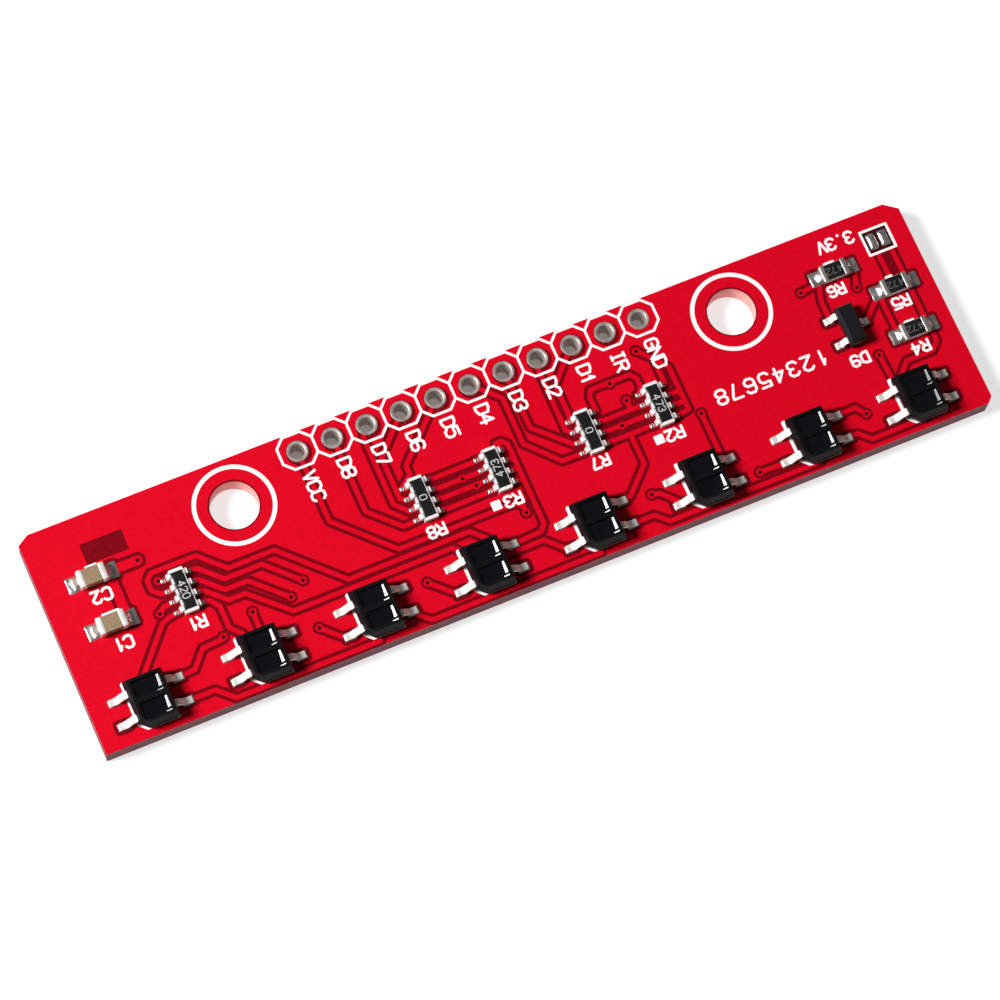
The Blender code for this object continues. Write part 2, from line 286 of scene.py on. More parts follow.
def strokes(points, radius, closed=False):
    """A line drawn through points, as one shape for each of its stretches."""
    ends = points[1:] + points[:1] if closed else points[1:]
    return [([a, b], radius) for a, b in zip(points, ends)]


def moved(points, x, y):
    return [(x + px, y + py) for px, py in points]


# Flat bodies cut from the plane along loops


def regions(loops):
    """Splits the plane along loops.

    Gives the points, the triangles, the loops round each triangle, and the loop points at each point.
    """
    points, faces = [], []
    for loop in loops:
        faces.append(list(range(len(points), len(points) + len(loop))))
        points += [Vector(point) for point in loop]
    found, _, triangles, sources, _, inside = geometry.delaunay_2d_cdt(points, [], faces, 1, WELD, True)
    return found, triangles, [set(loops) for loops in inside], sources


def rim_loops(rim):
    """The closed loops that directed edges make."""
    follow = dict(rim)
    loops = []
    while follow:
        start = next(iter(follow))
        loop = [start]
        point = follow.pop(start)
        while point != start:
            loop.append(point)
            point = follow.pop(point)
        loops.append(loop)
    return loops


def signed_area(points):
    return sum(a[0] * b[1] - b[0] * a[1] for a, b in zip(points, points[1:] + points[:1])) / 2


def add_plate(shape, points, triangles, marks, heights, floor, floor_mark=0):
    """A closed body: triangles at their points' heights, walls round them, and a flat floor."""
    upper = {}
    for triangle in triangles:
        for i in triangle:
            if i not in upper:
                upper[i] = shape.verts.new((points[i][0], points[i][1], heights[i]))
    for triangle, mark in zip(triangles, marks):
        shape.faces.new([upper[i] for i in triangle]).material_index = mark
    edges = {(t[i - 1], t[i]) for t in triangles for i in range(3)}
    loops = rim_loops([(a, b) for a, b in edges if (b, a) not in edges])
    lower = {i: shape.verts.new((points[i][0], points[i][1], floor)) for loop in loops for i in loop}
    for loop in loops:
        for a, b in zip(loop, loop[1:] + loop[:1]):
            shape.faces.new((upper[b], upper[a], lower[a], lower[b])).material_index = floor_mark
    turned = []
    for loop in loops:
        way = 1 if signed_area([points[i] for i in loop]) > 0 else -1
        turned.append(loop[::way])
    order = [i for loop in turned for i in loop]
    _, floor_triangles, inside, sources = regions([[tuple(points[i]) for i in loop] for loop in turned])
    for triangle, loops_round in zip(floor_triangles, inside):
        if len(loops_round) % 2:
            corner_verts = [lower[order[sources[i][0]]] for i in reversed(triangle)]
            shape.faces.new(corner_verts).material_index = floor_mark


def add_union(shape, shapes, height, floor, mark=0):
    """One closed plate that covers all the shapes."""
    points, triangles, inside, _ = regions([offset_outline(core, radius) for core, radius in shapes])
    kept = [triangle for triangle, loops in zip(triangles, inside) if loops]
    add_plate(shape, points, kept, [mark] * len(kept), [height] * len(points), floor, mark)


def bridge(shape, below, above, mark=0):
    """Walls between two closed rings of points."""
    for i in range(len(below)):
        j = (i + 1) % len(below)
        shape.faces.new((below[i], below[j], above[j], above[i])).material_index = mark


def add_turned(shape, x, y, profile, sides):
    """A closed (radius, height) profile turned about a vertical line."""
    rings = []
    for i in range(sides):
        cos, sin = math.cos(2 * math.pi * i / sides), math.sin(2 * math.pi * i / sides)
        rings.append([shape.verts.new((x + r * cos, y + r * sin, z)) for r, z in profile])
    for ring, after in zip(rings, rings[1:] + rings[:1]):
        bridge(shape, after, ring)


def add_loft(shape, rings):
    """A closed body through rings of (points, height) from the lowest to the highest."""
    levels = [[shape.verts.new((x, y, z)) for x, y in points] for points, z in rings]
    shape.faces.new(reversed(levels[0]))
    shape.faces.new(levels[-1])
    for below, above in zip(levels, levels[1:]):
        bridge(shape, below, above)


def add_mound(shape, core, radius, height, floor, mark=0, rings=6):
    """A closed mound over a shape, with height(x, y, rise) above a low rim wall.

    rise runs from 0 at the rim to 1 at the middle.
    """
    outline = even_steps(offset_outline(core, radius))
    cx = sum(x for x, _ in core) / len(core)
    cy = sum(y for _, y in core) / len(core)
    below = [shape.verts.new((x, y, floor)) for x, y in outline]
    shape.faces.new(reversed(below)).material_index = mark
    for i in range(rings):
        share = i / rings
        level = []
        for x, y in outline:
            px, py = x + (cx - x) * share, y + (cy - y) * share
            level.append(shape.verts.new((px, py, floor + RIM_WALL + height(px, py, share))))
        bridge(shape, below, level, mark)
        below = level
    peak = shape.verts.new((cx, cy, floor + RIM_WALL + height(cx, cy, 1.0)))
    for a in range(len(below)):
        shape.faces.new((below[a], below[(a + 1) % len(below)], peak)).material_index = mark


def direction(before, after):
    """The unit vector from one point to another."""
    length = max(math.dist(before, after), 1e-6)
    return (after[0] - before[0]) / length, (after[1] - before[1]) / length


def add_strap(shape, path, thickness, offset, width, mark=0):
    """A bent strip of even thickness, with soft edges, along (x, z) points and across y = offset."""
    left, right = [], []
    for i, (x, z) in enumerate(path):
        u, w = direction(path[max(i - 1, 0)], path[min(i + 1, len(path) - 1)])
        left.append((x - w * thickness / 2, z + u * thickness / 2))
        right.append((x + w * thickness / 2, z - u * thickness / 2))
    outline = right + left[::-1]
    if path[0][0] > path[-1][0]:
        outline.reverse()
    soft = 0.03
    low, high = offset - width / 2, offset + width / 2
    levels = []
    for y, shrink in ((low, soft), (low + soft, 0.0), (high - soft, 0.0), (high, soft)):
        level = []
        for i, (x, z) in enumerate(outline):
            u, w = direction(outline[i - 1], outline[(i + 1) % len(outline)])
            level.append(shape.verts.new((x - w * shrink, y, z + u * shrink)))
        levels.append(level)
    shape.faces.new(levels[0]).material_index = mark
    shape.faces.new(reversed(levels[-1])).material_index = mark
    for near, far in zip(levels, levels[1:]):
        bridge(shape, far, near, mark)


def rounded_path(points, reach, steps=4):
    """The path with each inner corner turned into an arc that starts this far from it."""
    path = [points[0]]
    for before, corner, after in zip(points, points[1:], points[2:]):
        ends = []
        for other in (before, after):
            length = math.dist(corner, other)
            share = min(reach, length / 2) / length
            ends.append([a + (b - a) * share for a, b in zip(corner, other)])
        for step in range(steps + 1):
            t = step / steps
            path.append(
                tuple(
                    (1 - t) ** 2 * a + 2 * t * (1 - t) * c + t**2 * b
                    for a, c, b in zip(ends[0], corner, ends[1])
                )
            )
    path.append(points[-1])
    return path


# Objects


def finished_mesh(name, shape, materials, smooth=None):
    """A mesh in metres from a bmesh in millimetres, shaded smooth below an angle in degrees."""
    bmesh.ops.recalc_face_normals(shape, faces=shape.faces)
    mesh = bpy.data.meshes.new(name)
    shape.to_mesh(mesh)
    shape.free()
    mesh.transform(Matrix.Scale(MM, 4))
    for material in materials:
        mesh.materials.append(material)
    if smooth:
        mesh.shade_smooth()
        mesh.set_sharp_from_angle(angle=math.radians(smooth))
    return mesh


def new_object(name, data):
    """An object in the scene from a mesh, a lamp or a camera."""
    made = bpy.data.objects.new(name, data)
    bpy.context.scene.collection.objects.link(made)
    return made


def add_piece(name, mesh, slot, position=(0.0, 0.0, 0.0), turn=0.0, replaced=()):
    """An object that rides on the board's body, at a position in millimetres."""
    piece = new_object(name, mesh)
    piece.location = [value * MM for value in position]
    piece.rotation_euler[2] = turn
    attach(piece, "root")
    if replaced:
        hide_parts(*replaced)
    return piece


def add_shape(name, shape, materials, slot, smooth=None, replaced=()):
    """A piece whose mesh is already in place."""
    add_piece(name, finished_mesh(name, shape, materials, smooth), slot, replaced=replaced)


# The board


def turned_over(points):
    """An outline as it is seen from below."""
    return [(x, -y) for x, y in reversed(points)]


def board_outline():
    """The board's own outline, from the corners of its box and its four cut corners."""
    x, y = BOARD_CORNER.x, BOARD_CORNER.y
    lower = [(-x, -y), (x - 0.4, -y), (x, -y + 0.4)]
    return [*lower, (x, y - 0.7), (x - 0.95, y), (-x + 0.8, y), (-x, y - 0.5)]


def board_holes():
    mounts = [circle(x, y, MOUNT_HOLE_RADIUS) for x, y in MOUNT_HOLES]
    return mounts + [circle(p.x, p.y, RING_SEAT_RADIUS, 32) for p in HEADER]


FOUR_WAYS = ((-1, -1), (-1, 1), (1, -1), (1, 1))
PAD_SOFT = 0.06  # corner radius of a pad
SENSOR_PAD_X = 2.28
SENSOR_PAD_Y = 0.875
SENSOR_PAD = (0.78, 0.48)

WIDE_ROUTES = [
    [(-25.8, 3.62), (-27.6, 3.62)],
    [(-27.9, 3.3), (-27.9, 0.4)],
]

ROUTES = [
    [(-26.1, -4.9), (-25.15, -4.85), (-24.15, -3.7), (-22.6, -3.6)],
    [(-26.1, -6.67), (-24.45, -6.67), (-23.35, -7.7), (-13.0, -7.72)],
    [(-24.8, -0.8), (-25.3, -0.85), (-25.9, -1.05), (-28.15, -3.6), (-28.45, -4.0)],
    [(-24.8, 0.0), (-25.4, -0.05), (-25.85, -0.4)],
    [(-24.8, 1.65), (-25.1, 1.75)],
    [
        (-24.8, 0.8), (-25.25, 0.85), (-25.75, 1.3), (-25.75, 2.05), (-25.35, 2.45), (-22.1, 2.45),
        (-20.45, 0.82), (-17.1, 0.82), (-13.3, -2.97), (-4.45, -2.97), (-3.5, -3.9), (-3.3, -4.7),
    ],
    [(-22.9, 1.65), (-22.35, 1.6), (-20.95, 0.22), (-18.25, 0.22), (-16.15, -1.87)],
    [(-22.9, 0.85), (-22.5, 0.78), (-21.2, -0.5), (-19.55, -0.5), (-17.35, -2.65)],
    [
        (-22.9, 0.0), (-22.5, -0.05), (-21.25, -1.25), (-20.05, -1.25), (-17.55, -3.6), (-5.95, -3.6),
        (-5.3, -4.3),
    ],
    [(-22.9, -0.75), (-22.45, -0.8), (-21.95, -1.4), (-21.95, -3.05), (-21.3, -3.75), (-20.95, -4.9)],
    [(-20.1, -2.63), (-20.1, -3.9)],
    [(-12.94, 6.65), (-12.88, 1.28), (-9.35, -2.3), (-0.9, -2.3), (-0.35, -2.6), (-0.35, -3.2)],
    [(-10.36, 6.65), (-10.36, 0.98), (-8.42, -0.95), (-7.5, -0.93)],
    [(-7.86, 6.65), (-8.43, 5.9), (-8.43, 0.72), (-7.65, -0.1), (-7.5, -0.1)],
    [(-5.32, 6.65), (-7.87, 4.1), (-7.87, 0.95), (-7.5, 0.68)],
    [(-2.78, 6.65), (-3.3, 6.1), (-6.55, 2.95), (-6.55, 2.3), (-7.5, 1.5)],
    [(-5.5, 1.42), (-2.05, 1.45)],
    [(-5.5, 0.65), (-2.05, 0.65)],
    [(-5.5, -0.1), (-2.05, -0.1)],
    [(-5.5, -0.93), (-2.05, -0.9)],
    [(0.0, 1.45), (-0.3, 2.12), (0.1, 2.12), (0.45, 1.8), (0.45, -4.35), (0.05, -4.8), (-1.8, -4.9)],
    [(0.0, 0.65), (0.45, 0.65)],
    [(0.0, -0.1), (0.45, -0.1)],
    [(0.0, -0.93), (0.45, -0.93)],
    [(-3.0, -5.45), (-0.05, -5.42), (1.05, -6.5), (1.25, -6.67)],
    [(-0.24, 6.65), (0.5, 5.9), (1.45, 4.95), (1.45, 1.35), (3.4, -0.75), (4.8, -0.78)],
    [(2.3, 6.65), (2.35, 5.9), (2.35, 2.25), (4.6, 0.05), (4.9, 0.05)],
    [(4.84, 6.65), (4.55, 6.0), (4.5, 1.2), (4.8, 0.87)],
    [(7.38, 6.65), (6.6, 5.9), (5.17, 4.4), (5.17, 2.1), (5.0, 1.65)],
    [(7.0, 1.65), (7.0, 2.7), (7.25, 3.2), (10.2, 3.2), (10.55, 2.8), (10.55, 2.1), (10.2, 1.6)],
    [(7.0, 0.85), (10.2, 0.85)],
    [(9.25, 0.85), (9.25, 1.58)],
    [(7.0, 0.05), (10.2, 0.05)],
    [(7.0, -0.75), (10.2, -0.75)],
    [(8.5, -0.9), (8.5, -3.05), (6.75, -4.75), (6.3, -4.9)],
    [(12.2, 1.65), (12.2, 3.65), (11.33, 4.6)],
    [(12.2, 3.65), (12.95, 2.7), (12.95, -0.6), (12.2, -0.75)],
    [(12.2, 0.85), (12.95, 0.85)],
    [(12.2, 0.05), (12.95, 0.05)],
    [(13.62, -1.22), (13.62, -4.5), (14.0, -4.9)],
    [(-16.42, -5.35), (-15.4, -6.35), (-14.95, -6.67)],
    [(-8.5, -5.2), (-8.3, -5.4), (-7.2, -6.45), (-6.85, -6.67)],
    [(8.05, -5.25), (8.6, -5.4), (9.5, -6.3), (9.65, -6.67)],
    [(15.57, -6.6), (17.4, -6.67)],
    [(-10.05, -6.67), (-9.95, -7.1), (-9.35, -7.6), (-9.1, -7.72), (3.2, -7.72)],
    [(6.4, -6.67), (7.6, -6.67), (8.45, -7.45), (19.8, -7.5)],
    [(22.4, -4.9), (23.6, -4.85), (24.15, -5.55)],
    [(22.4, -6.6), (22.95, -6.6), (23.75, -7.35), (27.8, -7.35)],
    [(23.7, 4.2), (24.8, 4.3)],
    [(25.1, 4.2), (24.9, 3.6), (24.75, 3.0), (24.75, 1.9)],
    [(27.85, 4.3), (27.5, 3.1)],
    [(28.4, 1.85), (27.3, 0.8)],
    [(28.7, 1.7), (28.7, -0.9)],
    [(30.95, 1.7), (30.95, -0.9)],
    [(29.97, 4.75), (29.97, 2.9)],
    [(30.98, 4.75), (30.98, 2.7)],
    [(31.0, -1.6), (31.0, -2.5), (30.4, -3.1), (28.4, -3.1), (27.7, -3.8)],
    [(26.8, -2.0), (26.92, -3.9)],
]

VIAS = [
    (-25.8, 3.63), (-25.1, 1.75), (-25.85, -0.4), (-22.55, -3.5), (-20.1, -2.63), (-16.15, -1.87),
    (-17.33, -2.65), (-16.42, -5.35), (-8.5, -5.2), (-3.38, 0.65), (-2.7, -0.15), (-0.35, -3.2),
    (8.05, -5.25), (8.68, 3.12), (9.25, 1.58), (8.22, 0.03), (11.33, 4.6), (13.62, -1.22),
    (15.57, -6.6), (23.7, 4.2), (27.5, 3.1), (26.8, -2.0), (24.15, -5.55),
]

CAPACITORS = {number: middle(f"capacitor_{number}_block") for number in (1, 2)}
RESISTORS = {number: middle(f"resistor_{number}_block") for number in (4, 5, 6)}
ARRAYS = {number: middle(f"resistor_array_{number}") for number in (1, 2, 3, 7, 8)}
DIODE = middle("diode_9_body")
ARRAY_ROWS = [0.8 * (i - 1.5) for i in range(4)]
DIODE_LEADS = [(-1, 0.95), (-1, -0.95), (1, 0.0)]
JUMPER = (30.38, 5.78)
PLAIN_FIELDS = [  # middle, width, length and kind
    (-27.5, 5.33, 3.0, 1.5, "clear"),
    (30.38, 5.80, 1.76, 1.56, "drill"),
    (30.475, 3.9, 0.7, 1.9, "clear"),
]


def pads():
    """Every pad as (core, joined to the ground copper)."""
    found = []
    for place in SENSORS:
        for side, row in FOUR_WAYS:
            x, y = place.x + side * SENSOR_PAD_X, place.y + row * SENSOR_PAD_Y
            found.append((rectangle(x, y, *SENSOR_PAD), side < 0 < row))
    for places, width in ((CAPACITORS, 1.03), (RESISTORS, 0.93)):
        for place in places.values():
            for side in (-1, 1):
                core = rectangle(place.x + side * 1.28, place.y, 0.86, width)
                found.append((core, places is CAPACITORS and side < 0))
    for place in ARRAYS.values():
        for side in (-1, 1):
            for row in ARRAY_ROWS:
                found.append((rectangle(place.x + side * 0.94, place.y + row, 0.34, 0.26), False))
    for side, offset in DIODE_LEADS:
        found.append((rectangle(DIODE.x + side * 1.12, DIODE.y + offset, 0.72, 0.46), False))
    for side in (-1, 1):
        found.append((rectangle(JUMPER[0] + side * 0.43, JUMPER[1], 0.56, 1.1), False))
    return found


def top_features():
    """The copper of the component side as (core, radius, clearance)."""
    features = []
    for routes, radius in ((WIDE_ROUTES, WIDE_TRACE), (ROUTES, TRACE)):
        for points in routes:
            features += [([a, b], radius, CLEARANCE) for a, b in zip(points, points[1:])]
    for core, grounded in pads():
        features.append((core, PAD_SOFT, 0.0 if grounded else CLEARANCE))
    features += [([via], VIA_RADIUS, VIA_CLEARANCE) for via in VIAS]
    features += [([(p.x, p.y)], RING_SEAT_RADIUS, 0.0) for p in HEADER]
    return features


def bare_fields():
    """Places without copper apart from the clearances: plain fields, round the mounting holes, and a
    field set off towards +X and -Y at each header hole but the last.
    """
    fields = []
    for x, y, width, length, kind in PLAIN_FIELDS:
        fields.append((rectangle(x, y, width - 0.2, length - 0.2), 0.1, kind))
    fields += [([hole], MOUNT_HOLE_RADIUS + HOLE_CLEARANCE, "clear") for hole in MOUNT_HOLES]
    # Each header field sits off centre, so the mask over bare laminate shows only as a dark crescent
    # below the ring
    return fields + [([(p.x + 0.06, p.y - 0.16)], 0.90, "clear") for p in HEADER[:-1]]


UNDER_ROUTES = [
    [(-25.85, -0.4), (-22.55, -3.5)],
    [(-25.1, 1.75), (-20.1, -2.63)],
    [(-17.33, -2.65), (-16.42, -5.35)],
    [(-16.15, -1.87), (-11.0, -1.87), (-8.5, -4.4), (-8.5, -5.2)],
    [(-3.38, 0.65), (-2.0, 0.65), (0.15, -1.5), (4.3, -1.5), (8.05, -5.25)],
    [(-2.7, -0.15), (-2.7, -2.6), (1.3, -6.6), (15.57, -6.6)],
    [(8.68, 3.12), (13.0, -1.2), (13.62, -1.22)],
    [(9.25, 1.58), (12.85, -2.0), (26.8, -2.0)],
    [(8.22, 0.03), (13.8, -5.55), (24.15, -5.55)],
    [(9.92, 6.69), (9.92, 6.0), (11.33, 4.6)],
    [(12.46, 6.69), (14.6, 7.2), (21.9, 7.2), (23.7, 5.4), (23.7, 4.2)],
    [(-25.8, 3.63), (-22.3, 7.2), (-14.4, 7.2), (-12.94, 6.69)],
]


def under_features():
    """The copper of the underside, seen from below, so with Y turned over."""
    features = []
    for points in UNDER_ROUTES:
        turned = [(x, -y) for x, y in points]
        features += [([a, b], TRACE, CLEARANCE) for a, b in zip(turned, turned[1:])]
    features += [([(x, -y)], VIA_RADIUS, VIA_CLEARANCE) for x, y in VIAS]
    features += [([(p.x, -p.y)], RING_SEAT_RADIUS, 0.30) for p in HEADER]
    return features


MASKS = [MASK, MASK_LOW, DRILL_SHADE_AND_BARE_FIELD]
ON_COPPER, ON_LAMINATE, IN_DRILL = range(3)  # places in MASKS


def add_relief(shape, outline, holes, features, drills, surface, fields=()):
    """Mask over copper and over bare laminate: copper stands a step above the clearances round it.

    The sloping step runs between a shape's own loop and a second loop, marked line, beside it.
    """
    drawn = []
    for core, radius, clearance in features:
        drawn.append((core, radius, "copper"))
        if clearance:
            drawn.append((core, radius + STEP_SLOPE, "line"))
            drawn.append((core, radius + clearance - STEP_SLOPE, "line"))
            drawn.append((core, radius + clearance, "clear"))
    # A via's drill is a shallow dimple painted near black: painted shade standing in for the open hole
    sunk = [([via], DRILL_RADIUS, "drill") for via in drills]
    for core, radius, kind in [*sunk, *fields]:
        drawn += [(core, radius, kind), (core, radius - STEP_SLOPE, "line")]
    loops = [outline, *holes, *[offset_outline(core, reach) for core, reach, _ in drawn]]
    kinds = ["board"] + ["hole"] * len(holes) + [kind for _, _, kind in drawn]
    points, triangles, inside, _ = regions(loops)
    kept, marks = [], []
    for triangle, loops_round in zip(triangles, inside):
        found = {kinds[i] for i in loops_round}
        if "board" not in found or "hole" in found:
            continue
        kept.append(triangle)
        if "drill" in found:
            marks.append(IN_DRILL)
        elif "copper" in found or "clear" not in found:
            marks.append(ON_COPPER)
        else:
            marks.append(ON_LAMINATE)
    raised = {i for triangle, mark in zip(kept, marks) if mark == ON_COPPER for i in triangle}
    heights = [surface if i in raised else surface - COPPER_STEP for i in range(len(points))]
    add_plate(shape, points, kept, marks, heights, surface - MASK_DEPTH)


def make_board():
    top = bmesh.new()
    add_relief(top, board_outline(), board_holes(), top_features(), VIAS, TOP, bare_fields())
    add_shape("mask_component_side", top, MASKS, "solder_mask", replaced=["pcb"])

    under = bmesh.new()
    holes = [turned_over(hole) for hole in board_holes()]
    drills = [(x, -y) for x, y in VIAS]
    add_relief(under, turned_over(board_outline()), holes, under_features(), drills, 0.0)
    bmesh.ops.transform(under, matrix=Matrix.Rotation(math.pi, 4, "X"), verts=under.verts)
    add_shape("mask_underside", under, MASKS, "solder_mask")

    core = bmesh.new()
    inset = 0.5 * STEP_SLOPE
    loops = [board_outline(), *board_holes()]
    points, triangles, inside, _ = regions(loops)
    kept = [triangle for triangle, around in zip(triangles, inside) if around == {0}]
    low, high = MASK_DEPTH - inset, TOP - MASK_DEPTH + inset
    add_plate(core, points, kept, [0] * len(kept), [high] * len(points), low)
    # Faces of the mounting holes' walls take the paler coral laminate with its painted bounce light
    for face in core.faces:
        x, y, _ = face.calc_center_median()
        if any(math.dist((x, y), hole) < MOUNT_HOLE_RADIUS for hole in MOUNT_HOLES):
            face.material_index = 1
    add_shape("laminate_core", core, [LAMINATE, HOLE_WALL_WITH_PAINTED_BOUNCE], "solder_mask")


# Printing

LETTER_SPACING = 4.9
GLYPHS = {  # the strokes of each glyph, through grid points written as column and row
    "0": ["10 30 41 45 36 16 05 01 10"],
    "1": ["14 26 20"],
    "2": ["05 16 36 45 44 00 40"],
    "3": ["05 16 36 45 44 33 23", "33 42 41 30 10 01"],
    "4": ["30 36 02 42"],
    "5": ["46 06 04 34 43 41 30 10 01"],
    "6": ["45 36 16 05 01 10 30 41 42 33 03"],
    "7": ["06 46 45 20"],
    "8": ["13 04 05 16 36 45 44 33 13 02 01 10 30 41 42 33"],
    "9": ["01 10 30 41 45 36 16 05 04 13 43"],
    "C": ["45 36 16 05 01 10 30 41"],
    "D": ["00 06 26 45 41 20 00"],
    "G": ["45 36 16 05 01 10 30 41 43 23"],
    "I": ["16 36", "26 20", "10 30"],
    "N": ["00 06 40 46"],
    "R": ["00 06 36 45 44 33 03", "23 40"],
    "V": ["06 20 46"],
    ".": ["20 20"],
}


def text_strokes(text, x, y, height, angle, line, spacing=LETTER_SPACING):
    """Plain single-line lettering centred on a point, each glyph on a grid 4 wide and 6 high."""
    unit = (height - 2 * line) / 6
    cos, sin = math.cos(math.radians(angle)), math.sin(math.radians(angle))
    start = -(4 + spacing * (len(text) - 1)) / 2
    shapes = []
    for index, letter in enumerate(text):
        for stroke in GLYPHS[letter]:
            points = []
            for pair in stroke.split():
                u = (int(pair[0]) + start + spacing * index) * unit
                v = (int(pair[1]) - 3) * unit
                points.append((x + u * cos - v * sin, y + u * sin + v * cos))
            if points[0] == points[-1] and len(points) == 2:
                shapes.append(([points[0]], line * 1.2))
            else:
                shapes += strokes(points, line)
    return shapes


LABELS = [  # text, middle, height and spacing
    ("C2", -28.92, 2.25, 1.0, 5.6),
    ("C1", -28.82, -1.38, 1.0, 5.0),
    ("R1", -23.77, -1.93, 0.95, 5.0),
    ("R8", -6.47, -2.08, 0.95, 5.5),
    ("R3", -0.8, -2.03, 0.95, 5.4),
    ("R7", 5.8, -1.8, 0.92, 5.5),
    ("R2", 11.32, -1.88, 0.95, 5.6),
    ("R6", 26.1, 3.45, 0.92, 5.5),
    ("R5", 29.92, 0.98, 0.95, 5.6),
    ("R4", 29.75, -2.57, 0.95, 5.5),
    ("D9", 25.45, -1.78, 0.95, 5.8),
    ("3.3V", 27.5, 6.7, 1.0, 5.1),
    ("12345678", 19.2, -0.68, 1.2, 6.4),
]

PIN_LABELS = ["VCC", "D8", "D7", "D6", "D5", "D4", "D3", "D2", "D1", "IR", "GND"]
PIN_LABEL_TOP = 5.12
PIN_FRAME_Y = 6.73
PIN_ONE_MARKS = [(-2.03, -1.97), (10.17, -1.85)]
SENSOR_FRAME = [(-1.34, 1.81), (1.34, 1.81), (1.34, -1.56), (-0.85, -1.56), (-1.34, -1.08)]
DASHES = [  # middle and length
    (26.42, 5.5, 0.65), (29.9, 3.0, 0.4), (29.8, -0.5, 0.6),
    (-28.85, 4.45, 0.7), (-28.85, 0.95, 1.1), (25.75, 2.15, 0.7),
]


def make_printing():
    frames = []
    half, cut, tall = 1.27, 0.63, 1.21
    for index, place in enumerate(HEADER):
        top = [(-half, tall - cut), (-half + cut, tall), (half - cut, tall), (half, tall - cut)]
        parts = [top, [(px, -py) for px, py in top], [(-half, tall - cut), (-half, cut - tall)]]
        if index == len(HEADER) - 1:
            parts.append([(half, tall - cut), (half, cut - tall)])
        for part in parts:
            frames += strokes(moved(part, place.x, PIN_FRAME_Y), LINE)
    for place in SENSORS:
        frames += strokes(moved(SENSOR_FRAME, place.x, place.y), SENSOR_FRAME_LINE, closed=True)
    frames += strokes(rectangle(*JUMPER, 2.0, 1.8), LINE, closed=True)
    for x, y, length in DASHES:
        frames += strokes([(x - length / 2, y), (x + length / 2, y)], LINE)
    printed = bmesh.new()
    height, floor = TOP + PRINT_HEIGHT, TOP - PRINT_DEPTH
    add_union(printed, frames, height, floor)
    inner, outer = MOUNT_RING
    for x, y in MOUNT_HOLES:
        ring = [(inner, floor), (outer, floor), (outer, height), (inner, height)]
        add_turned(printed, x, y, ring, 72)
    add_shape("printed_frames", printed, [PRINT], "solder_mask")

    letters = []
    for text, x, y, size, spacing in LABELS:
        letters += text_strokes(text, x, y, size, 180, LINE, spacing)
    for text, place in zip(PIN_LABELS, HEADER):
        length = (4 + LETTER_SPACING * (len(text) - 1)) * 0.92 / 6 + 0.18
        letters += text_strokes(text, place.x + 0.08, PIN_LABEL_TOP - length / 2, 1.08, -90, LINE)
    for x, y in PIN_ONE_MARKS:
        letters.append((rectangle(x, y, 0.55, 0.55), 0.06))
    printed = bmesh.new()
    add_union(printed, letters, height, floor)
    add_shape("printed_labels", printed, [PRINT], "solder_mask")


# Header barrels


def make_header():
    """Plated barrels, each with a ring on both faces and a rounded mouth."""
    bore, ring, wall, soft, thick = 0.5, 0.76, 0.56, 0.04, 0.07
    profile = [
        (bore + soft, 0.0), (ring - soft, 0.0), (ring, soft), (ring, thick), (wall, 0.10),
        (wall, TOP - 0.10), (ring, TOP - thick), (ring, TOP - soft), (ring - soft, TOP),
        (bore + 0.08, TOP), (bore + 0.02, TOP - 0.03), (bore - 0.01, TOP - 0.10),
        (bore - 0.01, 0.08), (bore + 0.01, 0.03),
    ]
    shape = bmesh.new()
    add_turned(shape, 0.0, 0.0, profile, 40)
    mesh = finished_mesh("header_barrel_plating", shape, [PLATING], smooth=40)
    for number, place in enumerate(HEADER, 1):
        node = f"header_barrel_{number}"
        base = (place.x, place.y, 0.0)
        add_piece(f"{node}_plating", mesh, "plated_copper", base, 0.5 * number, [node])


# Sensors

LEAD_PATH = [(0.9, 0.80), (1.52, 0.80), (2.06, 0.10), (2.58, 0.10)]
LEAD_THICKNESS = 0.15
LEAD_WIDTH = 0.50
LEAD_TIP = LEAD_PATH[-1][0]
WINDOW = (1.95, 1.20)
WINDOW_Y = 0.78
WINDOW_SOFT = 0.1
RESIN_HEIGHT = (1.25, 1.48)  # in the middle of a window, and where it climbs highest
HOUSING_LEVELS = [  # width, length, cut corner and height
    (2.50, 3.28, 0.48, 0.10),
    (2.58, 3.36, 0.50, 0.13),
    (2.78, 3.50, 0.52, 0.70),
    (2.80, 3.52, 0.52, 0.72),
    (2.80, 3.52, 0.52, 0.78),
    (2.77, 3.49, 0.52, 0.80),
    (2.44, 3.24, 0.45, 1.44),
    (2.36, 3.16, 0.43, 1.50),
]


def cut_corner(width, length, cut, soft):
    """A rectangle inset by soft, with its lower left corner cut off."""
    x, y = width / 2 - soft, length / 2 - soft
    return [(-x, -y + cut), (-x + cut, -y), (x, -y), (x, y), (-x, y)]


